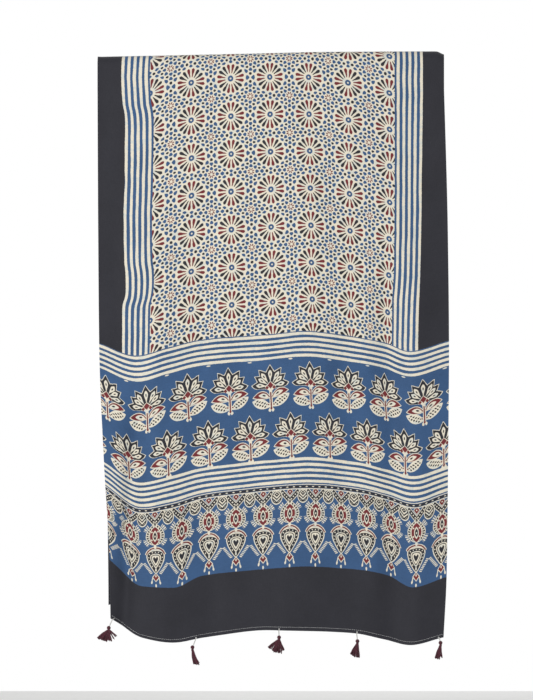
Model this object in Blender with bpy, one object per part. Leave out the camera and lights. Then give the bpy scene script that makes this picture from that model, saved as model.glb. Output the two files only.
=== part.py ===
"""An ajrakh stole hung over a rod: one printed cloth in two falls, and five yarn tassels sewn to its front hem.

Metres, +Z up. The front of the cloth faces -Y and the rod's space runs along X. The origin is at the top of the
bend, half way across the cloth. Tables are in millimetres.
"""

import math

import bpy
from mathutils import Vector

MM = 0.001

# The cloth as it is cut, and the bend that it takes over the rod's space
CLOTH_WIDTH = 560.0
CLOTH_LENGTH = 1771.0
SHEET = 1.5
BEND_RADIUS = 13.25
QUARTER_BEND = BEND_RADIUS * math.pi / 2

# Places across the cloth, measured on the cut cloth from its middle
STATIONS = {
    "left edge": -280, "left lobe": -222, "left shoulder": -170, "left side": -124, "left of middle": -16,
    "right of middle": 43, "right side": 124, "right shoulder": 178, "right lobe": 222, "right edge": 280,
}

# Weft lines of the front fall: distance up the cut cloth from the hem, then how far each line hangs below the top of
# the bend at each station. The cloth has slipped down at both sides, so each line arches.
WEFT_LINES = (
    # up,    left edge, lobe, shoulder, side, of middle | of middle, side, shoulder, lobe, right edge
    (0.0, (878, 908, 915, 908, 896, 897, 901, 911, 919, 907)),
    (100.8, (787, 828, 830, 812, 801, 797, 802, 811, 829, 813)),
    (265.8, (638, 670, 660, 648, 635, 631, 638, 650, 660, 644)),
    (459.3, (456, 475, 462, 451, 442, 437, 446, 455, 468, 452)),
    (857.2, (57, 70, 56, 47, 40, 40, 50, 64, 74, 60)),
)

# How far a thread of the warp stands to the right of its cut place, by height and by place across
SHIFT_STATIONS = (-280, -170, -16, 124, 232, 280)
SHIFTS = (
    # up, left edge, left, middle, right, right stripes, right edge
    (0.0, (28.7, 17.0, 11.6, 2.3, -12.0, -16.3)),
    (100.8, (27.1, 15.5, 11.6, 3.1, -7.6, -11.6)),
    (265.8, (18.6, 13.2, 12.4, 3.4, -6.0, -9.3)),
    (459.3, (11.2, 10.0, 9.3, 2.3, -10.0, -7.8)),
    (635.5, (9.6, 10.9, 6.5, 0.0, -5.0, -9.6)),
    (857.2, (8.5, 10.5, 4.3, -2.8, -2.2, -15.5)),
)

# The top of the bend dips to the left, and at the right corner the selvedge rolls down
BEND_LINE = {"across": (-280, -40, 90, 262, 280), "drop": (8.5, 3.5, 0.8, 0.0, 5.0)}

# Soft folds that run down each fall. Depth is towards the viewer of that face; a trough's is negative. Each fold
# starts at one distance below the top, is full at the second, and wanders across from its first place to its last.
FRONT_FOLDS = (
    # across at top, across at hem, half width, depth, starts, full
    (-218, -258, 17, -14.0, 470, 620),
    (-198, -196, 34, 7.0, 250, 560),
    (-124, -112, 30, -5.0, 60, 300),
    (-40, -52, 30, -3.0, 120, 420),
    (43, 30, 48, 6.0, 40, 260),
    (118, 112, 24, -3.0, 200, 520),
    (182, 190, 24, -8.0, 240, 420),
    (226, 230, 24, 5.0, 240, 420),
)
BACK_FOLDS = (
    # across at top, across at hem, half width, depth, starts, full
    (-205, -170, 40, 5.0, 80, 420),
    (-95, -60, 44, -5.0, 60, 360),
    (35, 50, 50, 6.0, 60, 400),
    (160, 150, 42, -5.0, 120, 460),
)

# The back fall draws in at its lower end, so the front hides it
BACK_DRAW_IN = {"left edge": 16.0, "right edge": -6.0}

# Threads of the sheet's grid: places across with the count of cells up to the next place
GRID_ACROSS = ((-280, 4), (-262, 9), (-190, 16), (160, 5), (240, 3), (280, 0))
FRONT_ROWS = 26
APPROACH_ROWS = 2
BEND_ROWS = 8
BACK_ROWS = 15

# Tassels, left to right: place on the hem of the cut cloth, centre of the head, centre of the skirt's end, and the
# skirt's half width there. x is from the middle of the part, drop from the top of the bend.
TASSELS = (
    # hem, head x, head drop, end x, end drop, end half width
    (-277.0, -254.2, 892.6, -259.0, 916.4, 16.5),
    (-135.0, -124.6, 922.6, -117.8, 949.0, 7.0),
    (-2.0, 9.3, 906.8, 4.6, 931.0, 12.6),
    (127.5, 130.6, 913.1, 127.4, 938.6, 8.0),
    (273.0, 259.0, 915.4, 255.8, 941.0, 6.2),
)
HEAD_RADIUS = 3.2
# Rings down a tassel: share of the way from the head's centre to the end of the skirt, then half width as a share of
# the head's radius and of the skirt's end
TASSEL_RINGS = (
    # along, of the head, of the skirt
    (-0.120, 0.40, 0.00),
    (-0.085, 0.80, 0.00),
    (0.000, 1.00, 0.00),
    (0.085, 0.80, 0.00),
    (0.125, 0.52, 0.00),
    (0.210, 0.55, 0.25),
    (0.400, 0.15, 0.62),
    (0.700, 0.00, 0.90),
    (1.000, 0.00, 1.00),
)
SKIRT_THICKNESS = 4.5
TASSEL_SIDES = 12
THREAD_RADIUS = 0.9
THREAD_SIDES = 6
GAP = 0.6

COLOURS = {
    # name: sRGB-linear base colour, roughness
    "printed cloth": ((0.045, 0.085, 0.16), 0.78),
    "burgundy yarn": ((0.105, 0.018, 0.032), 0.85),
    "white thread": ((0.72, 0.72, 0.68), 0.7),
}


def clear_scene():
    for old in list(bpy.data.objects):
        bpy.data.objects.remove(old, do_unlink=True)


def material(name):
    """The plain material of one kind of piece."""
    made = bpy.data.materials.get(name)
    if made is None:
        colour, roughness = COLOURS[name]
        made = bpy.data.materials.new(name)
        made.use_nodes = True
        surface = made.node_tree.nodes["Principled BSDF"]
        surface.inputs["Base Color"].default_value = (*colour, 1.0)
        surface.inputs["Roughness"].default_value = roughness
        surface.inputs["Metallic"].default_value = 0.0
    return made


def smooth(places, values, at):
    """A soft curve through a table's values, with no overshoot between them."""
    slopes = [(v1 - v0) / (p1 - p0) for p0, p1, v0, v1 in zip(places, places[1:], values, values[1:])]
    tangents = [slopes[0]]
    for before, after in zip(slopes, slopes[1:]):
        same_way = before * after > 0
        tangents.append(2 * before * after / (before + after) if same_way else 0.0)
    tangents.append(slopes[-1])
    if at <= places[0]:
        return values[0] + (at - places[0]) * tangents[0]
    if at >= places[-1]:
        return values[-1] + (at - places[-1]) * tangents[-1]
    n = max(i for i, place in enumerate(places) if place <= at)
    span = places[n + 1] - places[n]
    t = (at - places[n]) / span
    return (values[n] * (1 + 2 * t) * (1 - t) ** 2 + tangents[n] * span * t * (1 - t) ** 2
            + values[n + 1] * t * t * (3 - 2 * t) + tangents[n + 1] * span * t * t * (t - 1))


def ease(low, high, at):
    """0 below low, 1 above high, and a soft step between."""
    t = min(max((at - low) / (high - low), 0.0), 1.0)
    return t * t * (3 - 2 * t)


def table_value(rows, places, across, up):
    """A value from a table with a row for each height and a column for each place across."""
    heights = [row[0] for row in rows]
    column = [smooth(heights, [row[1][n] for row in rows], up) for n in range(len(places))]
    return smooth(places, column, across)


def path_down(across, up):
    """Length along the cloth from the top of the bend: positive down the front, negative down the back."""
    first_line = WEFT_LINES[-1][0]
    drop = table_value(WEFT_LINES, tuple(STATIONS.values()), across, min(up, first_line))
    straight = drop - bend_drop(across) - BEND_RADIUS
    return QUARTER_BEND + straight - max(up - first_line, 0.0)


def bend_drop(across):
    return smooth(BEND_LINE["across"], BEND_LINE["drop"], across)


def fold_depth(folds, across, below):
    """Sum of the soft folds at a place across, this far below the top of the bend."""
    depth = 0.0
    for at_top, at_hem, half_width, full_depth, starts, full in folds:
        centre = at_top + (at_hem - at_top) * ease(starts, 900, below)
        depth += full_depth * ease(starts, full, below) * math.exp(-((across - centre) / half_width) ** 2)
    return depth


def cloth_point(across, up):
    """Where a point of the cut cloth hangs, in millimetres."""
    path = path_down(across, up)
    side = math.copysign(1.0, path)
    below = max(abs(path) - QUARTER_BEND, 0.0)
    turn = min(abs(path) / BEND_RADIUS, math.pi / 2)
    out = BEND_RADIUS * math.sin(turn)
    down = BEND_RADIUS * (1 - math.cos(turn)) + below
    top_shift = SHIFTS[-1][0]
    x = across + table_value(SHIFTS, SHIFT_STATIONS, across, min(up, top_shift))
    if side > 0:
        out += fold_depth(FRONT_FOLDS, across, below)
    else:
        out += fold_depth(BACK_FOLDS, across, below)
        edge = BACK_DRAW_IN["left edge"] if across < 0 else BACK_DRAW_IN["right edge"]
        x += edge * (abs(across) / (CLOTH_WIDTH / 2)) * ease(0, 860, below)
    return Vector((x, -side * out, -bend_drop(across) - down))


def grid_across():
    """Places of the warp threads that the sheet's grid follows."""
    places = []
    for (start, cells), (end, _) in zip(GRID_ACROSS, GRID_ACROSS[1:]):
        places += [start + (end - start) * n / cells for n in range(cells)]
    return places + [GRID_ACROSS[-1][0]]


def spread(low, high, cells):
    """Starts of equal cells between two distances."""
    return [low + (high - low) * n / cells for n in range(cells)]


def grid_up(across):
    """Distances up a warp thread, hem to hem: along weft lines in front, then in step with the bend."""
    first_line = WEFT_LINES[-1][0]
    bend_start = first_line + path_down(across, first_line) - QUARTER_BEND
    bend_end = bend_start + 2 * QUARTER_BEND
    front = spread(0.0, first_line, FRONT_ROWS) + spread(first_line, bend_start, APPROACH_ROWS)
    return front + spread(bend_start, bend_end, BEND_ROWS) + spread(bend_end, CLOTH_LENGTH, BACK_ROWS) + [CLOTH_LENGTH]


def closed_object(name, points, faces, finish):
    """One closed solid from points in millimetres."""
    mesh = bpy.data.meshes.new(name)
    mesh.from_pydata([point * MM for point in points], [], faces)
    mesh.validate()
    mesh.update()
    made = bpy.data.objects.new(name, mesh)
    made.data.materials.append(material(finish))
    bpy.context.scene.collection.objects.link(made)
    mesh.shade_smooth()
    mesh.set_sharp_from_angle(angle=math.radians(50))
    return made


def make_cloth():
    """The whole cloth as one sheet: its middle surface on the folds, thickened to both sides."""
    warp = [[cloth_point(across, up) for up in grid_up(across)] for across in grid_across()]
    middle = list(zip(*warp))
    columns, rows = len(warp), len(middle)
    outer, inner = [], []
    for r in range(rows):
        for c in range(columns):
            along = middle[min(r + 1, rows - 1)][c] - middle[max(r - 1, 0)][c]
            over = middle[r][min(c + 1, columns - 1)] - middle[r][max(c - 1, 0)]
            outward = over.cross(along).normalized()
            outer.append(middle[r][c] + outward * SHEET / 2)
            inner.append(middle[r][c] - outward * SHEET / 2)
    back = rows * columns
    faces = []
    for r in range(rows - 1):
        for c in range(columns - 1):
            a, b = r * columns + c, r * columns + c + 1
            d, e = a + columns, b + columns
            faces += [(a, b, e), (a, e, d), (back + a, back + e, back + b), (back + a, back + d, back + e)]
    rim = [c for c in range(columns)]
    rim += [r * columns + columns - 1 for r in range(1, rows)]
    rim += [(rows - 1) * columns + c for c in range(columns - 2, -1, -1)]
    rim += [r * columns for r in range(rows - 2, 0, -1)]
    for a, b in zip(rim, rim[1:] + rim[:1]):
        faces += [(a, back + a, back + b), (a, back + b, b)]
    closed_object("cloth", outer + inner, faces, "printed cloth")


def lofted(rings):
    """Faces of a closed solid through rings of points: quads between rings and a fan at each end."""
    sides = len(rings[0])
    points = [point for ring in rings for point in ring]
    faces = []
    for r in range(len(rings) - 1):
        for s in range(sides):
            a, b = r * sides + s, r * sides + (s + 1) % sides
            faces.append((a, b, b + sides, a + sides))
    faces.append(tuple(reversed(range(sides))))
    last = (len(rings) - 1) * sides
    faces.append(tuple(range(last, last + sides)))
    return points, faces


def ring(centre, side, front, half_width, half_depth, count):
    """Points of an oval ring round a centre."""
    turns = [2 * math.pi * s / count for s in range(count)]
    return [centre + side * half_width * math.cos(t) + front * half_depth * math.sin(t) for t in turns]


def make_tassel(number, row):
    """A bound bundle of yarn: a round head, a drawn-in neck and a skirt that opens to its end."""
    hem, head_x, head_drop, end_x, end_drop, end_half = row
    depth = cloth_point(hem, 0.0).y
    head = Vector((head_x, depth, -head_drop))
    spine = Vector((end_x, depth, -end_drop)) - head
    side = spine.cross(Vector((0, 1, 0))).normalized()
    front = Vector((0, -1, 0))
    rings = []
    for along, of_head, of_skirt in TASSEL_RINGS:
        half_width = of_head * HEAD_RADIUS + of_skirt * end_half
        half_depth = of_head * HEAD_RADIUS + of_skirt * SKIRT_THICKNESS
        rings.append(ring(head + spine * along, side, front, half_width, half_depth, TASSEL_SIDES))
    points, faces = lofted(rings)
    closed_object(f"tassel_{number}", points, faces, "burgundy yarn")
    return head + spine * TASSEL_RINGS[0][0]


def make_thread(number, hem, crown):
    """The short thread from the hem down to a tassel's head, a little clear of both."""
    start = cloth_point(hem, 0.0)
    way = (crown - start).normalized()
    start += way * (GAP + THREAD_RADIUS)
    end = crown - way * (GAP + THREAD_RADIUS)
    side = way.cross(Vector((0, 1, 0))).normalized()
    front = way.cross(side)
    rings = [ring(place, side, front, THREAD_RADIUS, THREAD_RADIUS, THREAD_SIDES) for place in (start, end)]
    points, faces = lofted(rings)
    closed_object(f"tassel_thread_{number}", points, faces, "white thread")


def main():
    clear_scene()
    make_cloth()
    for number, row in enumerate(TASSELS, start=1):
        crown = make_tassel(number, row)
        make_thread(number, row[0], crown)


main()
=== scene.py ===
"""An ajrakh stole hung in two falls over a rod: printed cloth, sewn hems, and tassels on white threads.

Metres, +Z up; the front of the cloth faces -Y. Tables and the print's chart are in millimetres on the cut
cloth: across from its middle, and up from its hem.
"""

import functools
import math

import bpy
import numpy as np
from mathutils import Matrix, Vector


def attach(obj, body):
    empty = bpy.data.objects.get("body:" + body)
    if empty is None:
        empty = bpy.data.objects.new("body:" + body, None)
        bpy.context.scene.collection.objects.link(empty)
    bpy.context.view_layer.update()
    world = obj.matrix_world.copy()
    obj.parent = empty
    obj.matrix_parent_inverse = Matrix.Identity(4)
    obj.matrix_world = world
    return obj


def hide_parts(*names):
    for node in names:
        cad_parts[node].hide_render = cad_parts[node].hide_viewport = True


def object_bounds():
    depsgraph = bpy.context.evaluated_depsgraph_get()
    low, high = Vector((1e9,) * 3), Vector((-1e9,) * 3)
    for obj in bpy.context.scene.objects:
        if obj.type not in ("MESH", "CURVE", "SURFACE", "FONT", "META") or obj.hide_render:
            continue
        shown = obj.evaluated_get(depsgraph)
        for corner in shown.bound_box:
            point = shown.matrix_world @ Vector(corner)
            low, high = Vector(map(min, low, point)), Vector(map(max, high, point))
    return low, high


bl_info = {
    "name": "Ajrakh Stole",
    "version": (1, 0, 0),
    "blender": (4, 5, 0),
    "location": "3D View > Sidebar > Stole",
    "description": "Hangs a block-printed stole in two falls and sews its hems and tassels",
    "category": "Add Mesh",
}

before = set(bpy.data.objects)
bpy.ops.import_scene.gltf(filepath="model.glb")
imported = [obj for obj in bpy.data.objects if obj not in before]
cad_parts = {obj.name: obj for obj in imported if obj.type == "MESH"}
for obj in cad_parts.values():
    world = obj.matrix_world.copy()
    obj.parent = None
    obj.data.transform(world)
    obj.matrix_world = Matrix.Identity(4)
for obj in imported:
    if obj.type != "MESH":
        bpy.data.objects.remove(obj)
CAD_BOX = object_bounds()
BODY = "root"
MM = 0.001

# The cut cloth and its bend, as in the solids
CLOTH_WIDTH = 560.0
CLOTH_LENGTH = 1771.0
BEND_RADIUS = 13.25
QUARTER_BEND = BEND_RADIUS * math.pi / 2
MIDDLE_LINE = CLOTH_LENGTH / 2
STATIONS = (-280, -222, -170, -124, -16, 43, 124, 178, 222, 280)
WEFT_LINES = (
    # up, then the drop below the top of the bend at each station
    (0.0, (878, 908, 915, 908, 896, 897, 901, 911, 919, 907)),
    (100.8, (787, 828, 830, 812, 801, 797, 802, 811, 829, 813)),
    (265.8, (638, 670, 660, 648, 635, 631, 638, 650, 660, 644)),
    (459.3, (456, 475, 462, 451, 442, 437, 446, 455, 468, 452)),
    (857.2, (57, 70, 56, 47, 40, 40, 50, 64, 74, 60)),
)
FIRST_LINE = WEFT_LINES[-1][0]
SHIFT_STATIONS = (-280, -170, -16, 124, 232, 280)
SHIFTS = (
    # up, then how far each station's warp thread stands to the right of its cut place
    (0.0, (28.7, 17.0, 11.6, 2.3, -12.0, -16.3)),
    (100.8, (27.1, 15.5, 11.6, 3.1, -7.6, -11.6)),
    (265.8, (18.6, 13.2, 12.4, 3.4, -6.0, -9.3)),
    (459.3, (11.2, 10.0, 9.3, 2.3, -10.0, -7.8)),
    (635.5, (9.6, 10.9, 6.5, 0.0, -5.0, -9.6)),
    (857.2, (8.5, 10.5, 4.3, -2.8, -2.2, -15.5)),
)
BEND_LINE = ((-280, -40, 90, 262, 280), (8.5, 3.5, 0.8, 0.0, 5.0))
FOLDS_REACH = 900
FRONT_FOLDS = (
    # across at top, across at hem, half width, depth, starts, full
    (-218, -258, 17, -14.0, 470, 620),
    (-198, -196, 34, 7.0, 250, 560),
    (-124, -112, 30, -5.0, 60, 300),
    (-40, -52, 30, -3.0, 120, 420),
    (43, 30, 48, 6.0, 40, 260),
    (118, 112, 24, -3.0, 200, 520),
    (182, 190, 24, -8.0, 240, 420),
    (226, 230, 24, 5.0, 240, 420),
)
BACK_FOLDS = (
    (-205, -170, 40, 5.0, 80, 420),
    (-95, -60, 44, -5.0, 60, 360),
    (35, 50, 50, 6.0, 60, 400),
    (160, 150, 42, -5.0, 120, 460),
)
BACK_DRAW_IN = {"left edge": 16.0, "right edge": -6.0}

# Small creases pressed into the cloth, finer than the solid's folds
CREASES = (
    # across, up, half width, half height, lean, depth
    (1.4, 252, 2.2, 30, 0.0, -1.3),
    (-262, 474, 26, 4.5, -0.10, -1.4),
    (-256, 455, 30, 7.0, -0.12, 1.2),
    (258, 476, 26, 4.0, 0.05, -1.3),
    (252, 462, 30, 6.0, 0.08, 1.0),
    (-240, 150, 9, 60, -0.10, 1.6),
    (-262, 60, 8, 50, -0.20, 1.5),
    (252, 250, 8, 70, 0.10, -1.2),
)
RIPPLES = (
    # length of a wave across, length up, phase, height
    (85, 900, 0.3, 0.55),
    (140, 380, 1.1, 0.70),
    (-47, 520, 2.0, 0.22),
    (62, 210, 0.7, 0.20),
    (-95, 160, 1.9, 0.25),
    (31, 640, 0.2, 0.12),
)

# Threads of the sheet's grid
COLUMNS = 112
FRONT_ROWS = 150
LINE_ROWS = 10
BEND_ROWS = 28
BACK_ROWS = 138

# The chart of the print
END_BAND = 100.8
STRIPE_GAP = 8.37
LOWER_BAND = 249.0
CHAIN_LINE = 223.9
UPPER_BAND = 442.5
STRIPE_HALF = 2.15
FIELD_FLOOR = 463.0
LEFT_STRIPES = -223.4
RIGHT_STRIPES = 213.9
SIDE_GAP = 8.93
LEFT_WANDER = (
    # up, shift of the left stripes
    (463, -1.0), (500, -0.5), (533, 0.0), (570, 5.6), (606, 3.0), (655, 2.2), (700, 3.0),
    (745, 4.2), (800, 5.0), (845, 1.0), (886, -0.5),
)
PENDANT_PITCH = 42.58
PENDANT_START = 15.0
FLOWER_PITCH = 64.0
FLOWER_ROWS = {"upper": (-13.6, 343.6), "lower": (17.7, 266.8)}
FLOWER_SPLIT = 341.0
ROSETTE_PITCH = (63.86, 57.5)
ROSETTE_START = (-9.0, 857.0)

# Tassels, left to right
TASSELS = (
    # place on the hem, head x, head drop
    (-277.0, -254.2, 892.6),
    (-135.0, -124.6, 922.6),
    (-2.0, 9.3, 906.8),
    (127.5, 130.6, 913.1),
    (273.0, 259.0, 915.4),
)
HEAD_RADIUS = 3.1
NECK_DROP = 3.7
# Locks of a tassel's skirt, from the neck: strands, bend, end, spread at the end and fray, each x and down
LOCKS = (
    (
        (120, (-4.5, 6.5), (-10.5, 16.0), (7.4, 2.6), (0.9, 1.3)),
        (46, (0.5, 8.0), (1.6, 17.2), (3.0, 0.6), (0.5, 0.9)),
        (14, (3.6, 6.0), (7.4, 14.2), (1.2, 0.8), (0.4, 0.8)),
        (12, (5.2, 4.6), (11.2, 10.8), (1.4, -0.9), (0.4, 0.6)),
    ),
    (
        (110, (1.2, 9.0), (5.6, 23.2), (4.9, 0.8), (0.3, 1.4)),
        (12, (2.0, 9.0), (9.6, 20.6), (1.0, 0.9), (0.4, 1.0)),
    ),
    (
        (60, (-6.0, 8.6), (-11.4, 16.8), (6.0, 3.8), (0.6, 1.0)),
        (90, (-1.0, 9.0), (-2.6, 20.6), (6.6, 1.2), (0.4, 1.2)),
        (26, (3.0, 8.0), (6.4, 17.8), (1.8, -1.2), (0.4, 0.8)),
    ),
    (
        (60, (-4.2, 8.6), (-8.4, 19.0), (2.8, 1.8), (0.4, 1.0)),
        (80, (0.0, 9.0), (-1.4, 21.8), (4.6, 0.6), (0.4, 1.0)),
    ),
    (
        (90, (-2.0, 8.0), (-5.4, 21.6), (3.6, 0.8), (0.4, 1.2)),
        (16, (1.0, 8.0), (1.4, 19.6), (1.2, 0.8), (0.3, 1.2)),
    ),
)
LOCK_DEPTH = 3.6
NECK_RADIUS = 1.7

# The studio, in metres
FLOOR_REACH = (1.1, 0.9)
FLOOR_GAP = 0.12
WORLD_LIGHT = 0.55
LIGHTS = (
    # name, place from the cloth's middle, size, power
    ("key light", (-1.5, -2.1, 0.5), 1.3, 36.0),
    ("fill light", (1.9, -2.4, -0.2), 1.8, 13.0),
    ("back light", (0.6, 2.3, 0.4), 1.6, 22.0),
)
VIEW_HEIGHT = 1.085
VIEW_CENTRE = (-0.0101, -0.4627)
VIEW_DISTANCE = 6.0
SENSOR = 36.0


# ---------------------------------------------------------------- sizes and colours that a user may change


class StoleInks(bpy.types.PropertyGroup):
    """Colours of the print."""

    cream: bpy.props.FloatVectorProperty(
        name="Cream", description="Bare cloth, kept white by the resist", subtype="COLOR", size=3,
        default=(0.76, 0.70, 0.565), min=0.0, max=1.0)
    indigo: bpy.props.FloatVectorProperty(
        name="Indigo", description="Blue of the vat", subtype="COLOR", size=3,
        default=(0.036, 0.091, 0.205), min=0.0, max=1.0)
    iron: bpy.props.FloatVectorProperty(
        name="Iron Black", description="Black of the outlines and borders", subtype="COLOR", size=3,
        default=(0.0195, 0.0195, 0.026), min=0.0, max=1.0)
    madder: bpy.props.FloatVectorProperty(
        name="Madder Red", description="Red of the petals and leaves", subtype="COLOR", size=3,
        default=(0.155, 0.020, 0.024), min=0.0, max=1.0)
    bleed: bpy.props.FloatProperty(
        name="Bleed", description="How soft the edge of each block's print is", subtype="DISTANCE",
        default=0.00045, min=0.0001, max=0.002)
    wander: bpy.props.FloatProperty(
        name="Wander", description="How far the hand-set blocks stray", subtype="DISTANCE",
        default=0.0011, min=0.0, max=0.004)


class StoleCloth(bpy.types.PropertyGroup):
    """Sizes of the sheet."""

    thickness: bpy.props.FloatProperty(
        name="Thickness", description="Thickness of the cloth", subtype="DISTANCE",
        default=0.00045, min=0.0002, max=0.0015)
    hem: bpy.props.FloatProperty(
        name="Hem", description="Height of the turned hem", subtype="DISTANCE",
        default=0.007, min=0.003, max=0.02)
    hem_thickness: bpy.props.FloatProperty(
        name="Hem Thickness", description="Thickness of the turned hem", subtype="DISTANCE",
        default=0.0011, min=0.0004, max=0.002)
    ripple: bpy.props.FloatProperty(
        name="Ripple", description="Share of the soft unevenness that is kept", subtype="FACTOR",
        default=1.0, min=0.0, max=2.0)
    thread: bpy.props.FloatProperty(
        name="Weave", description="Distance between neighbouring threads", subtype="DISTANCE",
        default=0.0006, min=0.0002, max=0.002)


class StoleTassels(bpy.types.PropertyGroup):
    """Sizes and colours of the tassels, their threads and the stitches."""

    yarn: bpy.props.FloatVectorProperty(
        name="Yarn", description="Burgundy of the tassels", subtype="COLOR", size=3,
        default=(0.115, 0.018, 0.036), min=0.0, max=1.0)
    yarn_radius: bpy.props.FloatProperty(
        name="Yarn Radius", description="Half the thickness of one strand", subtype="DISTANCE",
        default=0.00042, min=0.0002, max=0.001)
    thread: bpy.props.FloatVectorProperty(
        name="Thread", description="White of the tassel threads", subtype="COLOR", size=3,
        default=(0.78, 0.78, 0.75), min=0.0, max=1.0)
    thread_radius: bpy.props.FloatProperty(
        name="Thread Radius", description="Half the thickness of one ply", subtype="DISTANCE",
        default=0.00042, min=0.0002, max=0.001)
    stitch: bpy.props.FloatProperty(
        name="Stitch", description="Length of a hem stitch with its gap", subtype="DISTANCE",
        default=0.0032, min=0.0015, max=0.008)


# ---------------------------------------------------------------- the hang of the cloth


def smooth(places, values, at):
    """A soft curve through a table's values, with no overshoot between them."""
    places, values, at = (np.asarray(row, float) for row in (places, values, at))
    slopes = np.diff(values) / np.diff(places)
    before, after = slopes[:-1], slopes[1:]
    same_way = before * after > 0
    total = np.where(same_way, before + after, 1.0)
    inner = np.where(same_way, 2 * before * after / total, 0.0)
    tangents = np.concatenate([slopes[:1], inner, slopes[-1:]])
    inside = np.clip(at, places[0], places[-1])
    n = np.clip(np.searchsorted(places, inside, side="right") - 1, 0, len(places) - 2)
    span = places[n + 1] - places[n]
    t = (inside - places[n]) / span
    soft = (values[n] * (1 + 2 * t) * (1 - t) ** 2 + tangents[n] * span * t * (1 - t) ** 2
            + values[n + 1] * t * t * (3 - 2 * t) + tangents[n + 1] * span * t * t * (t - 1))
    before_first = np.minimum(at - places[0], 0) * tangents[0]
    past_last = np.maximum(at - places[-1], 0) * tangents[-1]
    return soft + before_first + past_last


def ease(low, high, at):
    """0 below low, 1 above high, and a soft step between."""
    t = np.clip((np.asarray(at, float) - low) / (high - low), 0.0, 1.0)
    return t * t * (3 - 2 * t)


def table_row(rows, places, across, up):
    """A table's values along one weft line."""
    heights = [row[0] for row in rows]
    column = [smooth(heights, [row[1][n] for row in rows], up) for n in range(len(places))]
    return smooth(places, column, across)


def path_down(across, up):
    """Length along the cloth from the top of the bend: positive down the front, negative down the back."""
    line = min(float(np.min(up)), FIRST_LINE)
    drop = table_row(WEFT_LINES, STATIONS, across, line)
    return QUARTER_BEND + drop - smooth(*BEND_LINE, across) - BEND_RADIUS - (up - line)


def fold_depth(folds, across, below):
    """Sum of the soft folds at places across, this far below the top of the bend."""
    depth = np.zeros_like(across)
    for at_top, at_hem, half_width, full_depth, starts, full in folds:
        centre = at_top + (at_hem - at_top) * ease(starts, FOLDS_REACH, below)
        depth += full_depth * ease(starts, full, below) * np.exp(-((across - centre) / half_width) ** 2)
    return depth


def fine_depth(across, up, below, ripple):
    """Ripples and small creases that stand out from the folds. They fade towards the bend."""
    turns = sum(height * np.sin(2 * np.pi * (across / over + up / along) + phase)
                for over, along, phase, height in RIPPLES)
    depth = turns * ripple * ease(5, 90, below)
    for at, height, half_width, half_height, lean, crease in CREASES:
        rise = up - height - lean * (across - at)
        depth = depth + crease * np.exp(-((across - at) / half_width) ** 2 - (rise / half_height) ** 2)
    return depth


def hang(across, up, ripple=1.0):
    """Where the places of one weft line hang, in millimetres, as an array of points."""
    path = path_down(across, up)
    below = np.maximum(np.abs(path) - QUARTER_BEND, 0.0)
    turn = np.minimum(np.abs(path) / BEND_RADIUS, math.pi / 2)
    out = BEND_RADIUS * np.sin(turn)
    down = BEND_RADIUS * (1 - np.cos(turn)) + below
    line = min(float(np.min(up)), SHIFTS[-1][0])
    x = across + table_row(SHIFTS, SHIFT_STATIONS, across, line)
    in_front = path > 0
    draw = np.where(across < 0, BACK_DRAW_IN["left edge"], BACK_DRAW_IN["right edge"])
    x = x + np.where(in_front, 0.0, draw * np.abs(across) / (CLOTH_WIDTH / 2) * ease(0, 860, below))
    front = fold_depth(FRONT_FOLDS, across, below)
    back = fold_depth(BACK_FOLDS, across, below)
    out = out + np.where(in_front, front, back) + fine_depth(across, up, below, ripple)
    return np.stack([x, -np.where(in_front, 1.0, -1.0) * out, -smooth(*BEND_LINE, across) - down], axis=1)


def hang_one(across, up):
    """Where one place of the cloth hangs, in metres."""
    point = hang(np.array([float(across)]), up)[0]
    return Vector(point) * MM


def grid_rows(across):
    """Distances up each warp thread, hem to hem: along weft lines in front, then in step with the bend."""
    front = np.linspace(0.0, FIRST_LINE, FRONT_ROWS, endpoint=False)
    lines = np.linspace(FIRST_LINE, MIDDLE_LINE, LINE_ROWS, endpoint=False)
    straight = [np.full_like(across, up) for up in np.concatenate([front, lines])]
    bend_end = FIRST_LINE + path_down(across, FIRST_LINE) + QUARTER_BEND
    bend = [MIDDLE_LINE + (bend_end - MIDDLE_LINE) * n / BEND_ROWS for n in range(BEND_ROWS)]
    back = [bend_end + (CLOTH_LENGTH - bend_end) * n / BACK_ROWS for n in range(BACK_ROWS + 1)]
    return straight + bend + back


def to_mesh(name, points, faces, uv_maps=()):
    """A mesh from arrays, with any UV maps given as one value for each point."""
    mesh = bpy.data.meshes.new(name)
    mesh.from_pydata(points.tolist(), [], faces.tolist())
    mesh.update()
    corners = np.zeros(len(mesh.loops), int)
    mesh.loops.foreach_get("vertex_index", corners)
    for uv_name, uv in uv_maps:
        layer = mesh.uv_layers.new(name=uv_name)
        layer.data.foreach_set("uv", uv[corners].astype(np.float32).ravel())
    return mesh


def place_object(name, mesh):
    made = bpy.data.objects.new(name, mesh)
    bpy.context.scene.collection.objects.link(made)
    return made


def finish_piece(piece, slot, *nodes):
    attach(piece, BODY)
    if nodes:
        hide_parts(*nodes)
    return piece


# ---------------------------------------------------------------- drawing with nodes


def mix_inputs(share, a, b):
    """The colour sockets of a Mix node, which share their names with its others."""
    return {0: share, 6: a, 7: b}


class Term:
    """A number or a vector that a node tree works out. Arithmetic on it adds nodes."""

    def __init__(self, sketch, socket):
        self.sketch = sketch
        self.socket = socket

    def __add__(self, other):
        return self.sketch.math("ADD", self, other)

    def __radd__(self, other):
        return self.sketch.math("ADD", other, self)

    def __sub__(self, other):
        return self.sketch.math("SUBTRACT", self, other)

    def __rsub__(self, other):
        return self.sketch.math("SUBTRACT", other, self)

    def __mul__(self, other):
        return self.sketch.math("MULTIPLY", self, other)

    def __rmul__(self, other):
        return self.sketch.math("MULTIPLY", other, self)

    def __abs__(self):
        return self.sketch.math("ABSOLUTE", self)


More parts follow.
